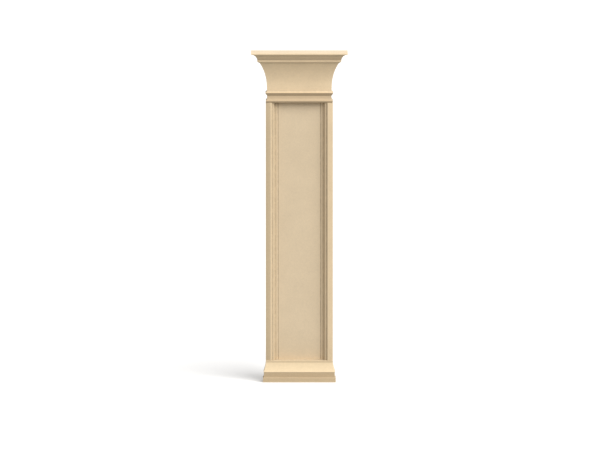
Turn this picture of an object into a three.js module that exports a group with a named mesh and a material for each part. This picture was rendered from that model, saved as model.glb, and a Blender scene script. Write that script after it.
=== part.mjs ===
// A flat wall pilaster in three moulded pieces: a low base, a long shaft with a sunk panel, and a
// flared capital. Each piece stands on the one below, and their flat backs lie in one wall plane.
// Millimetres, +Z up, +X across the front, and the front faces -Y. The origin lies on the floor,
// under the middle of the pilaster's whole width and depth.

import * as THREE from "three";

// Shaft
const shaftWidth = 200;
const shaftHeight = 772;
const shaftThickness = 45; // wall to the crown of the edge bands
const panelThickness = 25; // wall to the face of the sunk panel

// Moulding along both long edges of the shaft, from the outer edge inwards
const bandWidth = 15;
const bandFall = 5; // the band's outer edge lies this far behind its crown
const ovoloWidth = 4;
const ovoloDrop = 6;
const upperFilletWidth = 4.5;
const coveWidth = 5.5;
const lowerFilletWidth = 5.5;
const lowerFilletRise = 2.5; // above the panel's face
const quirkFallWidth = 1.5; // the quirk is the narrow groove where the panel starts
const quirkRiseWidth = 3;
const quirkDepth = 1;

// Base, from the floor up. Every projection is measured out of the faces of the shaft.
const footHeight = 13.5;
const footProjection = 8.6;
const plainBandHeight = 16.5;
const plainBandProjection = 5.8;
const baseCoveHeight = 28.5;
const baseCoveProjection = 6.7; // the cove's foot overhangs the plain band a little
const baseFilletHeight = 6.5;

// Capital, from its underside up
const lipHeight = 5.5;
const lipInset = 3; // the underside is drawn in by this much
const neckFlareHeight = 7; // the neck spreads to meet the lip
const neckHeight = 8;
const neckInset = 4.2;
const beadUnderHeight = 9;
const beadProjection = 1;
const beadTopHeight = 6;
const bellInset = 4;
const bellRootHeight = 20; // the bell's root is almost upright
const bellRootInset = 3;
const bellHeight = 64.5;
const bellProjection = 17.5;
const soffitRise = 5;
const capitalFilletHeight = 5.5;
const capitalFilletProjection = 25;
const cavettoHeight = 17.5;
const slabThickness = 4;
const slabProjection = 44;

// Degrees that each round or hollow face turns through
const bandSweep = 8;
const ovoloSweep = 50;
const coveSweep = 44;
const baseCoveSweep = 18;
const lipSweep = 40;
const neckFlareSweep = 50;
const beadUnderSweep = 25;
const beadTopSweep = 60;
const bellSweep = 29;
const cavettoSweep = 75;

const facetAngle = 3; // degrees of a curve that one flat facet stands for
const jointGap = 0.3; // between two pieces that stand on each other

// The outline of a moulding, drawn face by face. A point holds the way gone along the moulding
// and the level of the surface there, counted outwards from the solid behind it.
class Moulding {
  constructor(level) {
    this.points = [new THREE.Vector2(0, level)];
  }

  get end() {
    return this.points[this.points.length - 1];
  }

  flat(run) {
    return this.slope(run, this.end.y);
  }

  step(level) {
    return this.slope(0, level);
  }

  slope(run, level) {
    this.points.push(new THREE.Vector2(this.end.x + run, level));
    return this;
  }

  // A convex face: an arc that stands proud of its chord
  round(run, level, sweep) {
    return this.arc(run, level, sweep, 1);
  }

  // A concave face: an arc that lies behind its chord
  hollow(run, level, sweep) {
    return this.arc(run, level, sweep, -1);
  }

  arc(run, level, sweep, side) {
    const start = this.end.clone();
    const chord = new THREE.Vector2(run, level - start.y);
    const along = chord.clone().normalize();
    const across = new THREE.Vector2(-along.y, along.x).multiplyScalar(side);
    const half = THREE.MathUtils.degToRad(sweep) / 2;
    const radius = chord.length() / 2 / Math.sin(half);
    const facets = Math.max(2, Math.ceil(sweep / facetAngle));
    for (let i = 1; i <= facets; i += 1) {
      const turn = half * ((2 * i) / facets - 1);
      const point = start
        .clone()
        .addScaledVector(along, chord.length() / 2 + radius * Math.sin(turn))
        .addScaledVector(across, radius * (Math.cos(turn) - Math.cos(half)));
      this.points.push(point);
    }
    return this;
  }
}

// A solid whose front and both sides carry one moulding, mitred at the corners, with a flat back
// in the plane y = 0. It is a tall box with one ring of corners for each point of the moulding.
function mitredBlock(moulding) {
  const rings = moulding.points;
  const last = rings.length - 1;
  const geometry = new THREE.BoxGeometry(1, 1, 1, 1, 1, last);
  const corner = geometry.getAttribute("position");
  for (let i = 0; i < corner.count; i += 1) {
    const ring = rings[Math.round((corner.getZ(i) + 0.5) * last)];
    const side = Math.sign(corner.getX(i)) * (shaftWidth / 2 + ring.y);
    const front = corner.getY(i) < 0 ? -(shaftThickness + ring.y) : 0;
    corner.setXYZ(i, side, front, ring.x);
  }
  geometry.computeVertexNormals();
  return geometry;
}

function baseGeometry() {
  const moulding = new Moulding(footProjection)
    .flat(footHeight)
    .step(plainBandProjection)
    .flat(plainBandHeight)
    .step(baseCoveProjection)
    .hollow(baseCoveHeight, 0, baseCoveSweep)
    .flat(baseFilletHeight);
  return mitredBlock(moulding);
}

function capitalGeometry() {
  const moulding = new Moulding(-lipInset)
    .round(lipHeight, 0, lipSweep)
    .hollow(neckFlareHeight, -neckInset, neckFlareSweep)
    .flat(neckHeight)
    .round(beadUnderHeight, beadProjection, beadUnderSweep)
    .hollow(beadTopHeight, -bellInset, beadTopSweep)
    .slope(bellRootHeight, -bellRootInset)
    .hollow(bellHeight, bellProjection, bellSweep)
    .slope(soffitRise, capitalFilletProjection)
    .flat(capitalFilletHeight)
    .hollow(cavettoHeight, slabProjection, cavettoSweep)
    .flat(slabThickness);
  return mitredBlock(moulding);
}

// The shaft is its plan outline drawn up to its height. The left moulding runs inwards from the
// outer edge, and the right one is its mirror image.
function shaftGeometry() {
  const lowerFilletLevel = panelThickness + lowerFilletRise;
  const moulding = new Moulding(shaftThickness - bandFall)
    .round(bandWidth, shaftThickness, bandSweep)
    .round(ovoloWidth, shaftThickness - ovoloDrop, ovoloSweep)
    .flat(upperFilletWidth)
    .hollow(coveWidth, lowerFilletLevel, coveSweep)
    .flat(lowerFilletWidth)
    .slope(quirkFallWidth, panelThickness - quirkDepth)
    .slope(quirkRiseWidth, panelThickness);
  const left = moulding.points.map((p) => new THREE.Vector2(p.x - shaftWidth / 2, -p.y));
  const right = left.map((p) => new THREE.Vector2(-p.x, p.y)).reverse();
  const backLeft = new THREE.Vector2(-shaftWidth / 2, 0);
  const backRight = new THREE.Vector2(shaftWidth / 2, 0);
  const outline = new THREE.Shape([backLeft, ...left, ...right, backRight]);
  return new THREE.ExtrudeGeometry(outline, { depth: shaftHeight, bevelEnabled: false });
}

function paleWood(color) {
  return new THREE.MeshStandardMaterial({ color, roughness: 0.72, metalness: 0 });
}

const pilaster = new THREE.Group();
const baseHeight = footHeight + plainBandHeight + baseCoveHeight + baseFilletHeight;
const overallDepth = shaftThickness + Math.max(slabProjection, footProjection);
pilaster.position.y = overallDepth / 2;

const base = new THREE.Mesh(baseGeometry(), paleWood(0xd8c19c));
base.name = "base";
pilaster.add(base);

const shaft = new THREE.Mesh(shaftGeometry(), paleWood(0xd6c3a6));
shaft.name = "shaft";
shaft.position.z = baseHeight + jointGap;
pilaster.add(shaft);

const capital = new THREE.Mesh(capitalGeometry(), paleWood(0xdcc6a2));
capital.name = "capital";
capital.position.z = shaft.position.z + shaftHeight + jointGap;
pilaster.add(capital);

export default pilaster;
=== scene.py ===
# %% [markdown]
# A wall pilaster, milled from raw wood-fibre board
#
# The object is a flat pilaster in three pieces that stand on each other: a low moulded base, a
# long shaft with a sunk panel, and a flared capital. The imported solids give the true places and
# sizes, with curves cut into flat facets. Here each piece is drawn again as one smooth surface
# with eased arrises, and gets the finish of milled fibreboard.
#
# The lesson works in one order: load the frame, draw the mouldings as outlines, carry each
# outline round or along its piece, make the board's finish from shared node groups, and light it.

# %% Load the frame
import math

import bpy
import numpy as np
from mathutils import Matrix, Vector


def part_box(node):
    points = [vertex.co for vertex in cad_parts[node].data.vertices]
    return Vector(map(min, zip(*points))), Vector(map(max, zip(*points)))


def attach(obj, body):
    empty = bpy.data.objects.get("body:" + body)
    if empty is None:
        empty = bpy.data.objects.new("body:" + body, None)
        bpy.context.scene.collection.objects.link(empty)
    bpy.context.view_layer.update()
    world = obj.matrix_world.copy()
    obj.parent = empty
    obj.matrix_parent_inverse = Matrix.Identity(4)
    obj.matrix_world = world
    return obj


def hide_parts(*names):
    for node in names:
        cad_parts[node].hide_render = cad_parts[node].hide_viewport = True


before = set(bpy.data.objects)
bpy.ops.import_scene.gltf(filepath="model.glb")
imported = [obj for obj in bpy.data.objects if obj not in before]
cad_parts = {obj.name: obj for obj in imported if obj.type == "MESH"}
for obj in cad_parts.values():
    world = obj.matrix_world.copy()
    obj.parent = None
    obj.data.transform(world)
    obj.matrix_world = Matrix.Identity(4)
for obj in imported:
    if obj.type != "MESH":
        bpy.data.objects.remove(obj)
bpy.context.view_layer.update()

# %% [markdown]
# Sizes come from the frame where it holds them: the shaft's box gives its width, its thickness
# and the wall plane that all three flat backs share. The sizes of the single faces of a moulding
# can't be read from a box, so they are named here, in millimetres, as a maker would list them on
# a full-size drawing.

# %% Sizes
MM = 0.001
shaft_low, shaft_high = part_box("shaft")
base_low, base_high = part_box("base")
capital_low, capital_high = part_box("capital")
HALF_WIDTH = shaft_high.x
WALL = shaft_high.y
THICKNESS = WALL - shaft_low.y

BAND_WIDTH, BAND_FALL = 15 * MM, 5 * MM
OVOLO_WIDTH, OVOLO_DROP = 4 * MM, 6 * MM
UPPER_FILLET_WIDTH = 4.5 * MM
COVE_WIDTH = 5.5 * MM
LOWER_FILLET_WIDTH, LOWER_FILLET_RISE = 5.5 * MM, 2.5 * MM
QUIRK_FALL_WIDTH, QUIRK_RISE_WIDTH, QUIRK_DEPTH = 1.5 * MM, 3 * MM, 1 * MM
PANEL_LEVEL = 25 * MM

FOOT_HEIGHT, FOOT_PROJECTION = 13.5 * MM, 8.6 * MM
PLAIN_BAND_HEIGHT, PLAIN_BAND_PROJECTION = 16.5 * MM, 5.8 * MM
BASE_COVE_HEIGHT, BASE_COVE_PROJECTION = 28.5 * MM, 6.7 * MM
BASE_FILLET_HEIGHT = 6.5 * MM

LIP_HEIGHT, LIP_INSET = 5.5 * MM, 3 * MM
NECK_FLARE_HEIGHT, NECK_HEIGHT, NECK_INSET = 7 * MM, 8 * MM, 4.2 * MM
BEAD_UNDER_HEIGHT, BEAD_TOP_HEIGHT, BEAD_PROJECTION = 9 * MM, 6 * MM, 1 * MM
BELL_INSET, BELL_ROOT_HEIGHT, BELL_ROOT_INSET = 4 * MM, 20 * MM, 3 * MM
BELL_HEIGHT, BELL_PROJECTION = 64.5 * MM, 17.5 * MM
SOFFIT_RISE = 5 * MM
CAPITAL_FILLET_HEIGHT, CAPITAL_FILLET_PROJECTION = 5.5 * MM, 25 * MM
CAVETTO_HEIGHT, SLAB_THICKNESS, SLAB_PROJECTION = 17.5 * MM, 4 * MM, 44 * MM

RETURN = 4 * MM       # how far an outline runs on over the flat end of its piece
print("shaft", round(2 * HALF_WIDTH / MM, 1), "mm wide and", round(THICKNESS / MM, 1), "mm thick")

# %% [markdown]
# A moulding is drawn the way a joiner draws it: face by face, each one flat, round or hollow. One
# formula covers all three, an arc that stands on its chord. A positive sweep bulges out of the
# board, a negative one sags into it, and no sweep leaves the chord itself.

# %% Draw a moulding's outline
PITCH = 0.05 * MM     # between the first, dense points of an outline


def face(start, run, level, sweep=0.0):
    """One face of a moulding as points (way, level), from start to (start way + run, level).

    With chord c, half turn h = sweep / 2 and radius r = c / (2 sin h), the point at share t lies
    c / 2 + r sin(h (2t - 1)) along the chord and r (cos(h (2t - 1)) - cos h) across it.
    """
    chord = np.array([run, level - start[1]])
    length = np.hypot(*chord)
    along = chord / length
    across = np.array([-along[1], along[0]])
    share = np.linspace(0.0, 1.0, max(3, int(length / PITCH)))[1:, None]
    if not sweep:
        return start + share * chord
    half = math.radians(sweep) / 2
    radius = length / 2 / math.sin(half)
    turn = half * (2 * share - 1)
    forward = length / 2 + radius * np.sin(turn)
    return start + forward * along + radius * (np.cos(turn) - math.cos(half)) * across


def outline(start, *faces):
    """Joins faces end to end. Each is (run, level) for a flat one or (run, level, sweep)."""
    points = np.array([start], float)
    for one in faces:
        points = np.vstack([points, face(points[-1], *one)])
    return points


print("a face 10 mm long is drawn with", len(face(np.zeros(2), 10 * MM, 0.0)), "points")

# %% [markdown]
# No real arris is a knife edge. A cutter leaves a radius in each inner corner and sandpaper takes
# the edge off each outer one. Instead of modelling every one of these, the whole outline is
# averaged along its own length: straight and gently curved faces stay where they are, and only
# the sharp turns become small rounds.

# %% Ease the arrises
EASE = 0.9 * MM       # length that the averaging reaches to each side


def lengths(points):
    """Distance along a line of points, counted from its first point."""
    return np.concatenate([[0.0], np.cumsum(np.hypot(*np.diff(points, axis=0).T))])


def eased(points, reach=EASE):
    """The outline averaged along itself: P(s) = sum of w(u) P(s + u), with w a cosine bell."""
    gone = lengths(points)
    steps = np.arange(0.0, gone[-1], PITCH)
    even = np.column_stack([np.interp(steps, gone, points[:, k]) for k in (0, 1)])
    wide = int(reach / PITCH)
    before = even[0] + (even[0] - even[1]) * np.arange(wide, 0, -1)[:, None]
    after = even[-1] + (even[-1] - even[-2]) * np.arange(1, wide + 1)[:, None]
    padded = np.vstack([before, even, after])
    bell = np.hanning(2 * wide + 3)[1:-1]
    bell /= bell.sum()
    return np.column_stack([np.convolve(padded[:, k], bell, "valid") for k in (0, 1)])


def turning(points):
    """Signed turn at each point, in radians: positive where the surface is convex."""
    heading = np.unwrap(np.arctan2(*np.diff(points, axis=0).T[::-1]))
    return -np.concatenate([[0.0], np.diff(heading), [0.0]])


def stations(points, count, bend_share=0.72):
    """Picks count points so that they crowd where the outline bends.

    The measure grows with the distance and with the turn, mixed by bend_share, and the points
    stand at equal steps of it.
    """
    gone = lengths(points)
    bend = np.cumsum(np.abs(turning(points)))
    measure = (1 - bend_share) * gone / gone[-1] + bend_share * bend / bend[-1]
    at = np.interp(np.linspace(0, 1, count), measure, gone)
    return np.column_stack([np.interp(at, gone, points[:, k]) for k in (0, 1)])


print("arrises are eased over", round(EASE / MM, 2), "mm to each side")

# %% [markdown]
# Wear, dust and painted light sit where the shape puts them: an outer arris gets rubbed pale,
# which is partly a painted highlight, and an inner corner keeps dust and a duller tone, which is
# partly painted shade. Both can be read from the outline's own turn, so they are stored as two
# numbers on every vertex, and the finish reads them later. A third number is painted shade on
# whole faces: it makes chosen bands, undersides and hollows darker than light alone makes them.

# %% Find arrises and inner corners
RUB_AND_HIGHLIGHT_REACH = 1.6 * MM   # how far from an arris the rubbing and its painted highlight show
DUST_AND_SHADE_REACH = 3.0 * MM  # how far dust and painted corner shade reach out of an inner corner
SHARP = math.radians(25)
FADE = 0.6 * MM        # over which one face's painted shade goes over into the next


def edge_masks(dense, picked):
    """Two masks from 0 to 1 at the picked points: near a convex and near a concave turn.

    The turn is summed under a cosine bell of the given reach, and a turn of SHARP gives 1.
    """
    gone = lengths(dense)
    spot = np.argmin(np.abs(picked[:, None, :] - dense[None, ::4, :]).sum(2), axis=1)
    at = gone[::4][spot]
    masks = []
    for sign, reach in ((1, RUB_AND_HIGHLIGHT_REACH), (-1, DUST_AND_SHADE_REACH)):
        turn = np.clip(sign * turning(dense), 0, None)
        wide = int(reach / PITCH)
        bell = np.hanning(2 * wide + 3)[1:-1]
        spread = np.convolve(turn, bell, "same")
        masks.append(np.clip(np.interp(at, gone, spread) / SHARP, 0, 1))
    return masks


def painted_shade_by_height(height, faces):
    """Painted shade at each height: the share of the face (low, high, share) it lies in.

    Each share fades over FADE beyond the two ends of its face, as a straight ramp, and where two
    meet, the darker one holds.
    """
    tone = 0 * height
    for low, high, share in faces:
        inside = np.clip(np.minimum(height - low, high - height) / FADE + 1, 0, 1)
        tone = np.maximum(tone, share * inside)
    return tone


print("rubbing and painted highlight show", round(RUB_AND_HIGHLIGHT_REACH / MM, 1), "mm and dust with painted shade", round(DUST_AND_SHADE_REACH / MM, 1), "mm out")

# %% [markdown]
# A surface that closes on itself is a grid: one direction runs round the piece and the other up
# or along it. The grid becomes a mesh in one call, with its two flat ends closed by one face
# each. The distances along the cutter's way and across it become the piece's UV map, in metres,
# so that tool marks follow the moulding round its corners.

# %% Turn a grid into a piece
SMOOTH_UP_TO = math.radians(35)   # a sharper edge than this is shaded as an edge


def grid_piece(name, grid, along, across, masks):
    """Makes a closed mesh from grid[i, j] = (x, y, z), where j closes round the piece.

    A quad joins (i, j), (i, j + 1), (i + 1, j + 1) and (i + 1, j); the rows i = 0 and i = last
    are closed by one face each. along and across are the UV map; masks are vertex values.
    """
    rows, round_count = grid.shape[:2]
    index = np.arange(rows * round_count).reshape(rows, round_count)
    right = np.roll(index, -1, axis=1)
    quads = np.stack([index[:-1], right[:-1], right[1:], index[1:]], axis=-1).reshape(-1, 4)
    faces = [*quads.tolist(), index[0, ::-1].tolist(), index[-1].tolist()]
    mesh = bpy.data.meshes.new(name)
    mesh.from_pydata(grid.reshape(-1, 3).tolist(), [], faces)
    mesh.polygons.foreach_set("use_smooth", np.ones(len(mesh.polygons), bool))
    mesh.set_sharp_from_angle(angle=SMOOTH_UP_TO)
    corner = np.zeros(len(mesh.loops), int)
    mesh.loops.foreach_get("vertex_index", corner)
    uv = mesh.uv_layers.new(name="cutter_way")
    pair = np.column_stack([along.reshape(-1)[corner], across.reshape(-1)[corner]])
    uv.data.foreach_set("uv", pair.astype(np.float32).reshape(-1))
    for mask, values in masks.items():
        store = mesh.attributes.new(mask, "FLOAT", "POINT")
        store.data.foreach_set("value", values.astype(np.float32).reshape(-1))
    mesh.update()
    piece = bpy.data.objects.new(name, mesh)
    bpy.context.scene.collection.objects.link(piece)
    print(name, len(mesh.polygons), "faces,", len(mesh.vertices), "vertices")
    return piece


# %% [markdown]
# The base and the capital carry their moulding over the front and both sides, with mitred
# corners, and are flat behind. Seen from above, every level of such a piece is a rectangle with
# its back on the wall, only wider and deeper as the moulding steps out. So one ring of plan
# points serves all levels: each point knows which side it belongs to, and how far it is set in
# from that side by the small round of the corner.

# %% Carry a moulding round a piece
CORNER = 0.8 * MM      # radius of the upright corner arrises
CORNER_STEPS = 7
NEAR = np.array([0.6, 1.8, 5.0, 14.0]) * MM   # plan points beside each corner
BACK_SKIN = 2 * MM     # the pressed skin of the back goes over into the milled sides


def plan_ring():
    """Plan points as rows (side x, side y, inset x, inset y, rub and painted highlight), from back
    left to back right.

    x = side x * (half width + level) + inset x, and the distance from the wall is
    side y * (thickness + level) + inset y.
    """
    turn = np.linspace(0, math.pi / 2, CORNER_STEPS)
    flat = np.ones(len(NEAR))
    fade = 0.5 + 0.5 * np.cos(np.pi * np.clip(NEAR / RUB_AND_HIGHLIGHT_REACH, 0, 1))
    back_arc = [-np.ones(CORNER_STEPS), 0 * turn, CORNER * (1 - np.sin(turn)),
                CORNER * (1 - np.cos(turn)), np.ones(CORNER_STEPS)]
    up_side = [-flat, 0 * flat, 0 * flat, CORNER + NEAR, fade]
    down_side = [-flat, flat, 0 * flat, -(CORNER + NEAR[::-1]), fade[::-1]]
    front_arc = [-np.ones(CORNER_STEPS), np.ones(CORNER_STEPS), CORNER * (1 - np.cos(turn)),
                 -CORNER * (1 - np.sin(turn)), np.ones(CORNER_STEPS)]
    front = [-flat, flat, CORNER + NEAR, 0 * flat, fade]
    left = np.hstack([back_arc, up_side, down_side, front_arc, front])
    middle = np.array([[0.0], [1.0], [0.0], [0.0], [0.0]])
    right = left[:, ::-1] * np.array([-1, 1, -1, 1, 1])[:, None]
    return np.hstack([left, middle, right])


def mitred_piece(name, floor, dense, count, shaded_faces):
    """A block with the moulding on its front and sides, standing on the height floor."""
    picked = stations(dense, count)
    height, level = picked[:, :1], picked[:, 1:]
    side_x, side_y, inset_x, inset_y, rub_and_highlight = plan_ring()
    x = side_x * (HALF_WIDTH + level) + inset_x
    out = side_y * (THICKNESS + level) + inset_y
    grid = np.stack([x, WALL - out, floor + height + 0 * x], axis=-1)
    step = np.hypot(np.diff(x, axis=1), np.diff(out, axis=1))
    along = np.hstack([0 * height, np.cumsum(step, axis=1)])
    along = along - along[:, x.shape[1] // 2, None]
    across = lengths(picked)[:, None] + 0 * x
    rubbed_and_highlit, dust_and_shade = edge_masks(dense, picked)
    cut = np.clip((out + 0 * x) / BACK_SKIN, 0, 1)
    rising = np.abs(np.gradient(picked[:, 0], lengths(picked)))[:, None]
    masks = {
        "painted_shade": painted_shade_by_height(height, shaded_faces) * cut,
        "arris": 1 - (1 - rubbed_and_highlit[:, None]) * (1 - rub_and_highlight * np.clip(3 * rising, 0, 1)),
        "inner": dust_and_shade[:, None] * (out > CORNER),
        "milled": cut,
    }
    return grid_piece(name, grid, along, across, masks)


print("one ring of a mitred piece has", plan_ring().shape[1], "points")

# %% [markdown]
# The base, from its underside up: a foot band, a plain band set back a little, a long shallow
# cove, and the upright fillet on which the shaft stands. Its outline starts and ends a little way
# in over the flat ends, so that the two end arrises are eased like all the others.

# %% Make the base
base_outline = eased(outline(
    (0, FOOT_PROJECTION - RETURN),
    (0, FOOT_PROJECTION),
    (FOOT_HEIGHT, FOOT_PROJECTION),
    (0, PLAIN_BAND_PROJECTION),
    (PLAIN_BAND_HEIGHT, PLAIN_BAND_PROJECTION),
    (0, BASE_COVE_PROJECTION),
    (BASE_COVE_HEIGHT, 0, -18),
    (BASE_FILLET_HEIGHT, 0),
    (0, -RETURN),
))
COVE_FOOT = FOOT_HEIGHT + PLAIN_BAND_HEIGHT
FILLET_FOOT = COVE_FOOT + BASE_COVE_HEIGHT
# painted shade: the foot, the plain band under the cove and the top fillet are darkened
base_painted_shade = [
    (-RETURN, FOOT_HEIGHT, 0.80),
    (FOOT_HEIGHT, COVE_FOOT, 1.0),
    (FILLET_FOOT, FILLET_FOOT + BASE_FILLET_HEIGHT + RETURN, 0.5),
]
moulded_base = mitred_piece("moulded_base", base_low.z, base_outline, 150, base_painted_shade)

# %% [markdown]
# The capital has the richest outline. Above its drawn-in lip come a hollow neck, a sharp bead, the
# tall hollow bell, a slanted soffit, a fillet, a cavetto that turns through three quarters of a
# right angle, and the thin slab that carries a shelf.

# %% Make the capital
capital_outline = eased(outline(
    (0, -LIP_INSET - RETURN),
    (0, -LIP_INSET),
    (LIP_HEIGHT, 0, 40),
    (NECK_FLARE_HEIGHT, -NECK_INSET, -50),
    (NECK_HEIGHT, -NECK_INSET),
    (BEAD_UNDER_HEIGHT, BEAD_PROJECTION, 25),
    (BEAD_TOP_HEIGHT, -BELL_INSET, -60),
    (BELL_ROOT_HEIGHT, -BELL_ROOT_INSET),
    (BELL_HEIGHT, BELL_PROJECTION, -29),
    (SOFFIT_RISE, CAPITAL_FILLET_PROJECTION),
    (CAPITAL_FILLET_HEIGHT, CAPITAL_FILLET_PROJECTION),
    (CAVETTO_HEIGHT, SLAB_PROJECTION, -75),
    (SLAB_THICKNESS, SLAB_PROJECTION),
    (0, SLAB_PROJECTION - RETURN),
))
BEAD_FOOT = LIP_HEIGHT + NECK_FLARE_HEIGHT + NECK_HEIGHT
BELL_FOOT = BEAD_FOOT + BEAD_UNDER_HEIGHT + BEAD_TOP_HEIGHT
CAVETTO_FOOT = BELL_FOOT + BELL_ROOT_HEIGHT + BELL_HEIGHT + SOFFIT_RISE + CAPITAL_FILLET_HEIGHT
# painted shade: the lip, the neck, the bead's underside and the cavetto's foot are darkened
capital_painted_shade = [
    (-RETURN, LIP_HEIGHT + NECK_FLARE_HEIGHT / 2, 0.85),
    (LIP_HEIGHT, BEAD_FOOT, 0.65),
    (BEAD_FOOT, BEAD_FOOT + BEAD_UNDER_HEIGHT, 1.0),
    (CAVETTO_FOOT + 0.5 * MM, CAVETTO_FOOT + 2.5 * MM, 0.95),
    (CAVETTO_FOOT + 2.5 * MM, CAVETTO_FOOT + 6 * MM, 0.4),
]
moulded_capital = mitred_piece("moulded_capital", capital_low.z, capital_outline, 330,
                               capital_painted_shade)

# %% [markdown]
# The shaft is the other kind of piece: its moulding runs straight up, along both long edges of a
# board. Its outline is the plan of the whole board. It starts on the back near the left edge,
# goes round that edge and inwards over band, ovolo, fillets, cove and quirk to the panel, and
# comes back as its own mirror image. The grid then only repeats that plan at each height, drawn in
# a little at both sawn ends.

# %% Make the shaft
SAWN_EASE = 0.22 * MM  # less than the radius of the board's own arrises
SAWN_STEPS = 5
ROWS_BETWEEN = 7       # between the two sawn ends
PANEL_SKIN = HALF_WIDTH - BAND_WIDTH - OVOLO_WIDTH - 15 * MM   # inside this the skin is whole


def shaft_plan():
    """The board's plan as points (x, distance from the wall), from back left to back right."""
    lower_fillet = PANEL_LEVEL + LOWER_FILLET_RISE
    left = outline(
        (RETURN, 0),
        (-RETURN, 0),
        (0, THICKNESS - BAND_FALL),
        (BAND_WIDTH, THICKNESS, 8),
        (OVOLO_WIDTH, THICKNESS - OVOLO_DROP, 50),
        (UPPER_FILLET_WIDTH, THICKNESS - OVOLO_DROP),
        (COVE_WIDTH, lower_fillet, -44),
        (LOWER_FILLET_WIDTH, lower_fillet),
        (QUIRK_FALL_WIDTH, PANEL_LEVEL - QUIRK_DEPTH),
        (QUIRK_RISE_WIDTH, PANEL_LEVEL),
    )
    left[:, 0] -= HALF_WIDTH
    right = left[::-1] * np.array([-1, 1])
    across_panel = face(left[-1], -2 * left[-1, 0], PANEL_LEVEL)
    return eased(np.vstack([left, across_panel, right[1:]]))


def shaft_piece(name, dense, count):
    """The plan repeated at each height: P = plan - inset * outward normal, z = height."""
    picked = stations(dense, count)
    tangent = np.gradient(picked, lengths(picked), axis=0)
    tangent /= np.hypot(*tangent.T)[:, None]
    normal = np.column_stack([-tangent[:, 1], tangent[:, 0]])
    turn = np.linspace(0, math.pi / 2, SAWN_STEPS)
    ends = SAWN_EASE * (1 - np.sin(turn))
    tall = shaft_high.z - shaft_low.z
    between = np.linspace(0, tall, ROWS_BETWEEN + 2)[1:-1]
    rise = SAWN_EASE * (1 - np.cos(turn))
    height = np.concatenate([rise, between, tall - rise[::-1]])
    inset = np.concatenate([ends, 0 * between, ends[::-1]])
    plan = picked[None] - inset[:, None, None] * normal[None]
    z = shaft_low.z + height[:, None] + 0 * plan[..., 0]
    grid = np.stack([plan[..., 0], WALL - plan[..., 1], z], axis=-1)
    rubbed_and_highlit, dust_and_shade = edge_masks(dense, picked)
    from_panel = np.abs(picked[:, 0]) - PANEL_SKIN
    masks = {
        "painted_shade": 0 * z,
        "arris": rubbed_and_highlit + 0 * z,
        "inner": dust_and_shade * (picked[:, 1] > CORNER) + 0 * z,
        "milled": np.clip(from_panel / MM, 0, 1) * (picked[:, 1] > CORNER) + 0 * z,
    }
    across = lengths(picked) + 0 * z
    return grid_piece(name, grid, z, across, masks)


moulded_shaft = shaft_piece("moulded_shaft", shaft_plan(), 420)

# %% [markdown]
# The finish is raw wood-fibre board. Close to, it is a felt of short fibres, some darker and some
# paler, under faint clouds where the pressing was uneven. From a step away it is a plain, warm
# tan. Its pressed face is pale and tight; where a cutter has gone in, the softer core shows, a
# touch deeper in colour, with fine lines along the cutter's way. All three pieces share these
# effects, so each effect is built once, as a node group.

# %% Small helpers for node trees
def feed(tree, made, inputs):
    """Links each named or numbered input to a socket, or sets it to a plain value."""
    for key, value in inputs.items():
        if isinstance(value, bpy.types.NodeSocket):
            tree.links.new(value, made.inputs[key])
        else:
            made.inputs[key].default_value = value


def node(tree, kind, inputs=None, **settings):
    """Adds a node, sets its properties and feeds its inputs."""
    made = tree.nodes.new(kind)
    for key, value in settings.items():
        setattr(made, key, value)
    feed(tree, made, inputs or {})
    return made


def calculate(tree, operation, first, second=0.0, clamp=False):
    """The output of one Math node."""
    made = node(tree, "ShaderNodeMath", {0: first, 1: second}, operation=operation)
    made.use_clamp = clamp
    return made.outputs[0]


def remap(tree, value, low, high, to_low=0.0, to_high=1.0):
    """Carries the range low to high over to to_low to to_high, and stops at its ends."""
    made = node(tree, "ShaderNodeMapRange",
                {0: value, 1: low, 2: high, 3: to_low, 4: to_high}, clamp=True)
    return made.outputs[0]


def blend_colours(tree, factor, first, second, blend_type="MIX"):
    """The output of one colour Mix node."""
    made = tree.nodes.new("ShaderNodeMix")
    made.data_type = "RGBA"
    made.blend_type = blend_type
    feed(tree, made, {0: factor, 6: first, 7: second})
    return made.outputs[2]


def new_group(name, inputs, outputs):
    """A node group with sockets given as (name, kind, default). Returns tree, input and output."""
    tree = bpy.data.node_groups.new(name, "ShaderNodeTree")
    for title, kind, default in inputs:
        socket = tree.interface.new_socket(title, in_out="INPUT", socket_type=kind)
        if default is not None:
            socket.default_value = default
    for title, kind in outputs:
        tree.interface.new_socket(title, in_out="OUTPUT", socket_type=kind)
    return tree, tree.nodes.new("NodeGroupInput"), tree.nodes.new("NodeGroupOutput")


FLOAT, VECTOR = "NodeSocketFloat", "NodeSocketVector"

# %% [markdown]
# Fibre felt: the fibres of such a board lie every way, so three noises are stretched in three
# directions at odd angles, and the strongest one shows. Two directions square to each other would
# look like linen. A rounder, broader noise gives the mottle between the fibres, and a last, very
# broad one is the cloud left by the press. The positions come in millimetres, so the sizes below
# are those of real fibres.

# %% Node group: fibre felt
THIN = 3.2              # how much thinner a fibre is than a millimetre


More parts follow.
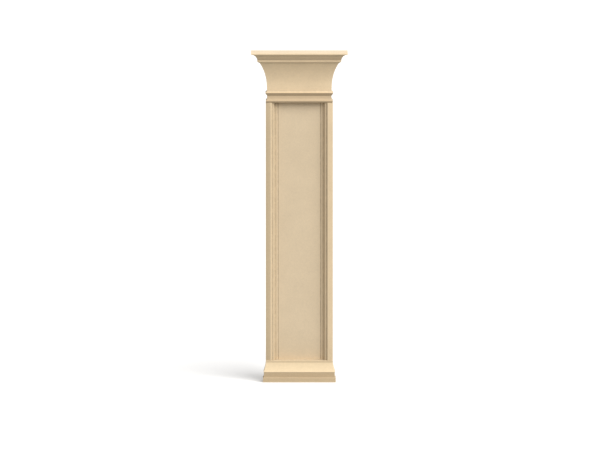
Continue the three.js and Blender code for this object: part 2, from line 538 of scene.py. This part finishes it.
def fibre_felt():
    """Fibres = the largest of three stretched noises; Mottle and Clouds = rounder, broader ones."""
    tree, inside, outside = new_group(
        "fibre felt",
        [("Millimetres", VECTOR, None), ("Fibre Length", FLOAT, 2.4)],
        [("Fibres", FLOAT), ("Mottle", FLOAT), ("Clouds", FLOAT)],
    )
    millimetres = inside.outputs["Millimetres"]
    reach = calculate(tree, "DIVIDE", 1.0, inside.outputs["Fibre Length"])
    stretch = node(tree, "ShaderNodeCombineXYZ", {0: reach, 1: THIN, 2: THIN}).outputs[0]
    fibres = 0.0
    for degrees in (17, 74, 141):
        turned = node(tree, "ShaderNodeVectorRotate",
                      {"Vector": millimetres, "Angle": math.radians(degrees)},
                      rotation_type="Y_AXIS").outputs[0]
        place = node(tree, "ShaderNodeVectorMath", {0: turned, 1: stretch},
                     operation="MULTIPLY").outputs[0]
        noise = node(tree, "ShaderNodeTexNoise", {"Vector": place, "Scale": 1.0, "Detail": 2.0,
                                                  "Roughness": 0.55, "Distortion": 1.2})
        fibres = calculate(tree, "MAXIMUM", noise.outputs[0], fibres)
    tree.links.new(remap(tree, fibres, 0.47, 0.76), outside.inputs["Fibres"])
    for title, scale, detail in (("Mottle", 0.16, 4.0), ("Clouds", 0.018, 2.0)):
        noise = node(tree, "ShaderNodeTexNoise", {"Vector": millimetres, "Scale": scale,
                                                  "Detail": detail, "Roughness": 0.6})
        tree.links.new(remap(tree, noise.outputs[0], 0.3, 0.7), outside.inputs[title])
    return tree


felt_group = fibre_felt()
print(felt_group.name, "has", len(felt_group.nodes), "nodes")

# %% [markdown]
# Cutter marks: a moulding cutter drags fine lines along its way wherever its edge has a nick, and
# leaves faint ripples across it, one for each turn of the spindle. Both are read from the UV map,
# which holds the distances along and across the cutter's way, so they turn the corner with the
# moulding. The lines fade in and out, because a real nick does not cut at an even depth.

# %% Node group: cutter marks
def cutter_marks():
    """Lines = noise stretched along the way; Ripples = a sine of the way, broken up by noise."""
    tree, inside, outside = new_group(
        "cutter marks",
        [("Way", VECTOR, None), ("Line Width", FLOAT, 0.5), ("Ripple", FLOAT, 1.7)],
        [("Lines", FLOAT), ("Ripples", FLOAT)],
    )
    parts = node(tree, "ShaderNodeSeparateXYZ", {0: inside.outputs["Way"]})
    along = calculate(tree, "MULTIPLY", parts.outputs[0], 1000.0)
    across = calculate(tree, "MULTIPLY", parts.outputs[1], 1000.0)
    slow = calculate(tree, "MULTIPLY", along, 0.012)
    fine = calculate(tree, "DIVIDE", across, inside.outputs["Line Width"])
    spot = node(tree, "ShaderNodeCombineXYZ", {0: slow, 1: fine}).outputs[0]
    lines = node(tree, "ShaderNodeTexNoise", {"Vector": spot, "Scale": 1.0, "Detail": 1.5,
                                              "Roughness": 0.5}).outputs[0]
    tree.links.new(remap(tree, lines, 0.3, 0.7), outside.inputs["Lines"])
    phase = calculate(tree, "DIVIDE", calculate(tree, "MULTIPLY", along, math.tau),
                      inside.outputs["Ripple"])
    wave = remap(tree, calculate(tree, "SINE", phase), -1.0, 1.0)
    patch = node(tree, "ShaderNodeCombineXYZ",
                 {0: calculate(tree, "MULTIPLY", along, 0.05),
                  1: calculate(tree, "MULTIPLY", across, 0.1)}).outputs[0]
    breaks = node(tree, "ShaderNodeTexNoise", {"Vector": patch, "Scale": 1.0}).outputs[0]
    broken = calculate(tree, "MULTIPLY", wave, remap(tree, breaks, 0.45, 0.65))
    tree.links.new(broken, outside.inputs["Ripples"])
    return tree


marks_group = cutter_marks()
print(marks_group.name, "has", len(marks_group.nodes), "nodes")

# %% [markdown]
# Wear, dust and painted light: sanding and handling rub the outer arrises pale and smooth, in
# patches, and that pale is partly a painted highlight; dust settles in the inner corners, and its
# darkening is partly painted shade. The two vertex numbers made with the shapes say where, and a
# noise breaks them up, so that no edge is an even painted line.

# %% Node group: rubbed and dusty, partly painted highlight and shade
def wear_and_painted_light():
    """The rubbed mask (wear and painted highlight) and the dusty mask (dust and painted shade), each
    broken up by a noise in millimetres.
    """
    tree, inside, outside = new_group(
        "rubbed and dusty, with painted light",
        [("Millimetres", VECTOR, None), ("Arris", FLOAT, 0.0), ("Inner", FLOAT, 0.0)],
        [("Rubbed and Highlit", FLOAT), ("Dust and Shade", FLOAT)],
    )
    for mask, title, scale in (("Arris", "Rubbed and Highlit", 0.22), ("Inner", "Dust and Shade", 0.09)):
        noise = node(tree, "ShaderNodeTexNoise", {"Vector": inside.outputs["Millimetres"],
                                                  "Scale": scale, "Detail": 3.0})
        patches = remap(tree, noise.outputs[0], 0.3, 0.6, 0.35, 1.0)
        broken = calculate(tree, "MULTIPLY", inside.outputs[mask], patches, clamp=True)
        tree.links.new(broken, outside.inputs[title])
    return tree


wear_and_painted_light_group = wear_and_painted_light()
print(wear_and_painted_light_group.name, "has", len(wear_and_painted_light_group.nodes), "nodes")

# %% [markdown]
# The board material puts the groups together. Pressed face and milled core are two close tans; the
# mask from the shape chooses between them. Fibres, mottle, clouds and cutter lines each shift the
# colour by a few hundredths, which is all that shows on the real thing. The same effects feed the
# roughness and one bump. A little sheen stands for the fuzz of cut fibres, which makes a surface
# paler where it is seen at a flat angle.

# %% The board material
DARKEST_PAINTED_SHADE = (0.63, 0.60, 0.57)   # painted shade: what a fully shaded face keeps of the red, green and blue
TONE_SHIFTS = {"Clouds": (0.975, 1.025), "Mottle": (0.965, 1.035), "Fibres": (1.05, 0.90)}
LINE_SHIFT = (1.02, 0.95)
RUBBED_AND_HIGHLIGHT_SHARE = 0.45            # of the pale tone on a fully rubbed arris, partly a painted highlight
DUST_AND_SHADE_KEEPS = 0.72                  # what dust and painted corner shade leave of the core's tone
FIBRE_RISE = (0.35, 0.8)       # of the bump, on the pressed skin and on the milled core
LINE_RISE, RIPPLE_RISE = 0.7, 0.2


def group_node(tree, group, inputs):
    """Places a node group in a material and feeds it."""
    made = tree.nodes.new("ShaderNodeGroup")
    made.node_tree = group
    feed(tree, made, inputs)
    return made


def stored(tree, name):
    """A vertex number of the piece, as a socket."""
    return node(tree, "ShaderNodeAttribute", attribute_name=name).outputs["Fac"]


def shift_tone(tree, colour, value, at_none, at_full):
    """Multiplies the colour by a grey that goes from at_none to at_full as the value goes 0 to 1."""
    grey = remap(tree, value, 0.0, 1.0, at_none, at_full)
    return blend_colours(tree, 1.0, colour, grey, "MULTIPLY")


def fibreboard(name, skin, core, fibre_length, line_width, dust_and_shade_share):
    """Raw fibreboard in two tans, with felt, cutter marks, rubbed arrises that are partly a painted
    highlight, dusty corners that are partly painted shade, and painted shade on whole faces.
    """
    material = bpy.data.materials.new(name)
    material.use_nodes = True
    tree = material.node_tree
    shader = tree.nodes["Principled BSDF"]
    place = node(tree, "ShaderNodeTexCoord").outputs["Object"]
    millimetres = node(tree, "ShaderNodeVectorMath", {0: place, 1: (1000.0, 1000.0, 1000.0)},
                       operation="MULTIPLY").outputs[0]
    way = node(tree, "ShaderNodeUVMap", uv_map="cutter_way").outputs[0]
    felt = group_node(tree, felt_group, {"Millimetres": millimetres, "Fibre Length": fibre_length})
    marks = group_node(tree, marks_group, {"Way": way, "Line Width": line_width})
    worn_and_painted = group_node(tree, wear_and_painted_light_group, {"Millimetres": millimetres,
                                             "Arris": stored(tree, "arris"),
                                             "Inner": stored(tree, "inner")})
    milled = stored(tree, "milled")
    lines = calculate(tree, "MULTIPLY", marks.outputs["Lines"], milled)

    colour = blend_colours(tree, milled, (*skin, 1.0), (*core, 1.0))
    for effect, (at_none, at_full) in TONE_SHIFTS.items():
        colour = shift_tone(tree, colour, felt.outputs[effect], at_none, at_full)
    colour = shift_tone(tree, colour, lines, *LINE_SHIFT)
    # rubbed arrises: pale wear, and partly a painted highlight
    pale = tuple(min(1.0, 1.1 * part + 0.03) for part in skin)
    rubbed_and_highlit = calculate(tree, "MULTIPLY", worn_and_painted.outputs["Rubbed and Highlit"], RUBBED_AND_HIGHLIGHT_SHARE)
    colour = blend_colours(tree, rubbed_and_highlit, colour, (*pale, 1.0))
    # painted shade: the stored share darkens whole bands, undersides and hollows of the piece
    colour = blend_colours(tree, stored(tree, "painted_shade"), colour, (*DARKEST_PAINTED_SHADE, 1.0), "MULTIPLY")
    # dust in the inner corners, partly painted shade: they are dulled towards a darker core tone
    dust_and_shade_colour = tuple(DUST_AND_SHADE_KEEPS * part for part in core)
    dust_and_shade = calculate(tree, "MULTIPLY", worn_and_painted.outputs["Dust and Shade"], dust_and_shade_share)
    colour = blend_colours(tree, dust_and_shade, colour, (*dust_and_shade_colour, 1.0))
    tree.links.new(colour, shader.inputs["Base Color"])

    rough = remap(tree, felt.outputs["Mottle"], 0.0, 1.0, 0.58, 0.68)
    rough = calculate(tree, "ADD", rough, calculate(tree, "MULTIPLY", milled, 0.08))
    rough = calculate(tree, "SUBTRACT", rough,
                      calculate(tree, "MULTIPLY", worn_and_painted.outputs["Rubbed and Highlit"], 0.12))
    tree.links.new(rough, shader.inputs["Roughness"])

    fibre_height = calculate(tree, "MULTIPLY", felt.outputs["Fibres"],
                             remap(tree, milled, 0.0, 1.0, *FIBRE_RISE))
    line_height = calculate(tree, "MULTIPLY", lines, LINE_RISE)
    ripples = calculate(tree, "MULTIPLY", marks.outputs["Ripples"], milled)
    ripple_height = calculate(tree, "MULTIPLY", ripples, RIPPLE_RISE)
    height = calculate(tree, "ADD", calculate(tree, "ADD", fibre_height, line_height),
                       ripple_height)
    bump = node(tree, "ShaderNodeBump", {"Strength": 0.5, "Distance": 0.06 * MM,
                                         "Height": height})
    tree.links.new(bump.outputs[0], shader.inputs["Normal"])
    shader.inputs["Specular IOR Level"].default_value = 0.42
    shader.inputs["Sheen Weight"].default_value = 0.18
    shader.inputs["Sheen Roughness"].default_value = 0.45
    return material


# %% [markdown]
# The three pieces get boards of different tans. The shaft's is the greyest; the base's and the
# capital's are paler and a little warmer, and that paler tan is painted light: it stands for the
# stronger light from above that falls on those two pieces.

# %% Finish the pieces
# piece, colour of the skin, colour of the core, fibre length, line width, share of dust and shade
finishes = {
    # painted light: the base's and the capital's tans are paler than the shaft's for brighter light
    "base": (moulded_base, (0.78, 0.635, 0.43), (0.775, 0.615, 0.40), 2.2, 0.55, 0.5),
    "shaft": (moulded_shaft, (0.62, 0.50, 0.345), (0.62, 0.485, 0.315), 2.6, 0.45, 0.9),
    "capital": (moulded_capital, (0.78, 0.63, 0.42), (0.765, 0.60, 0.395), 2.2, 0.6, 0.5),
}
for title, (piece, skin, core, fibre_length, line_width, dust_and_shade_share) in finishes.items():
    board = fibreboard(title + " board", skin, core, fibre_length, line_width, dust_and_shade_share)
    piece.data.materials.append(board)
    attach(piece, "root")
    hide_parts(title)
print("finished", list(finishes))

# %% [markdown]
# The stage is a plain white floor, wide enough to fill the picture behind the object. To the
# camera it is white paper. Every other ray sees it much darker, so that it throws only a weak
# light up into the hollows, as the photo's evenly dark undersides ask. Seen from below it is clear,
# and it lies a hair under the object and lets the shortest rays through, so that the underside
# isn't black when the object is turned up and looked at from there.

# %% Lay the floor
FLOOR_REACH = 40.0
FLOOR_GREY = 0.34
FLOOR_DROP = 0.2 * MM
TOUCHING = 6 * MM       # length of the rays that the floor lets through


def paper_floor():
    """A white floor to the camera, a grey one to the light, and nothing from underneath."""
    corners = np.array([[-1, -1, 0], [1, -1, 0], [1, 1, 0], [-1, 1, 0]]) * FLOOR_REACH
    corners[:, 2] = -FLOOR_DROP
    mesh = bpy.data.meshes.new("floor")
    mesh.from_pydata(corners.tolist(), [], [[0, 1, 2, 3]])
    floor = bpy.data.objects.new("floor", mesh)
    bpy.context.scene.collection.objects.link(floor)
    material = bpy.data.materials.new("white paper")
    material.use_nodes = True
    tree = material.node_tree
    tree.nodes.clear()
    path = node(tree, "ShaderNodeLightPath")
    seen = path.outputs["Is Camera Ray"]
    dark = (FLOOR_GREY, FLOOR_GREY, 0.95 * FLOOR_GREY, 1.0)
    tint = blend_colours(tree, seen, dark, (0.93, 0.93, 0.93, 1.0))
    paper = node(tree, "ShaderNodeBsdfDiffuse", {"Color": tint}).outputs[0]
    clear = node(tree, "ShaderNodeBsdfTransparent").outputs[0]
    under = node(tree, "ShaderNodeNewGeometry").outputs["Backfacing"]
    short = calculate(tree, "LESS_THAN", path.outputs["Ray Length"], TOUCHING)
    through = calculate(tree, "MAXIMUM", under, short)
    both = node(tree, "ShaderNodeMixShader", {0: through, 1: paper, 2: clear}).outputs[0]
    node(tree, "ShaderNodeOutputMaterial", {"Surface": both})
    mesh.materials.append(material)
    return floor


paper_floor()
print("the floor is", round(2 * FLOOR_REACH), "m wide")

# %% [markdown]
# The light is soft and comes from above and the right, as the photo's shading says: tops are
# bright, undersides dark, and of the two moulded edges of the shaft the right one's outer band is
# the brighter. A broad sun gives that direction without hard shadows, and a dim, even sky fills
# the rest. The sky shows white to the camera, like the floor.

# %% Light it
SUN_COLOUR = (1.0, 0.985, 0.96)
SUN_FROM_RIGHT = 42     # degrees round from the front
SUN_HEIGHT = 42         # degrees above the horizon
SUN_BREADTH = 50        # degrees across, for soft shadows
SUN_STRENGTH = 3.0
SKY_STRENGTH = 0.68


def soft_sun():
    """A sun whose light comes from the given direction."""
    light = bpy.data.lights.new("soft_sun", "SUN")
    light.energy = SUN_STRENGTH
    light.angle = math.radians(SUN_BREADTH)
    light.color = SUN_COLOUR
    lamp = bpy.data.objects.new("soft_sun", light)
    bpy.context.scene.collection.objects.link(lamp)
    round_, up = math.radians(SUN_FROM_RIGHT), math.radians(SUN_HEIGHT)
    towards = Vector((math.sin(round_) * math.cos(up), -math.cos(round_) * math.cos(up),
                      math.sin(up)))
    lamp.location = 5 * towards
    lamp.rotation_mode = "QUATERNION"
    lamp.rotation_quaternion = towards.to_track_quat("Z", "Y")


def even_sky():
    """A dim sky for the light, white for the camera."""
    world = bpy.data.worlds.new("even_sky")
    world.use_nodes = True
    tree = world.node_tree
    seen = node(tree, "ShaderNodeLightPath").outputs["Is Camera Ray"]
    strength = remap(tree, seen, 0.0, 1.0, SKY_STRENGTH, 1.0)
    tree.links.new(strength, tree.nodes["Background"].inputs["Strength"])
    tree.nodes["Background"].inputs["Color"].default_value = (1.0, 1.0, 1.0, 1.0)
    bpy.context.scene.world = world


soft_sun()
even_sky()
bpy.context.scene.view_settings.view_transform = "Standard"
print("the sun stands", SUN_FROM_RIGHT, "degrees to the right and", SUN_HEIGHT, "degrees up")

# %% [markdown]
# The photo looks at the pilaster square on and from slightly above: the capital's flat top shows
# as a thin pale strip. The camera takes the same view at the same scale, from so far off and
# through so long a lens that the uprights don't converge. The width of the shaft in the picture
# sets the scale, and its middle sets the aim.

# %% Set the camera
PICTURE_WIDTH = 600              # pixels
SHAFT_PIXELS = 67.2              # width of the shaft in the picture
SHAFT_MIDDLE = (299.3, 231.7)    # pixel at the middle of the shaft's face
PICTURE_MIDDLE = (300, 225)
CAMERA_HEIGHT = 7                # degrees above the horizon
CAMERA_DISTANCE = 40.0
SENSOR_WIDTH = 36
CLIP_END = 200

pixel = 2 * HALF_WIDTH / SHAFT_PIXELS
up_angle = math.radians(CAMERA_HEIGHT)
back = Vector((0, -math.cos(up_angle), math.sin(up_angle)))
upward = Vector((0, math.sin(up_angle), math.cos(up_angle)))
face_middle = Vector((0, shaft_low.y, (shaft_low.z + shaft_high.z) / 2))
aim = face_middle + Vector((1, 0, 0)) * pixel * (PICTURE_MIDDLE[0] - SHAFT_MIDDLE[0])
aim = aim + upward * pixel * (SHAFT_MIDDLE[1] - PICTURE_MIDDLE[1])
lens = bpy.data.cameras.new("long_lens")
lens.sensor_width = SENSOR_WIDTH
lens.lens = SENSOR_WIDTH * CAMERA_DISTANCE / (pixel * PICTURE_WIDTH)
lens.clip_end = CLIP_END
camera = bpy.data.objects.new("camera", lens)
bpy.context.scene.collection.objects.link(camera)
camera.location = aim + back * CAMERA_DISTANCE
camera.rotation_mode = "QUATERNION"
camera.rotation_quaternion = (-back).to_track_quat("-Z", "Y")
bpy.context.scene.camera = camera
print("lens", round(lens.lens), "mm,", round(pixel / MM, 3), "mm to a pixel")
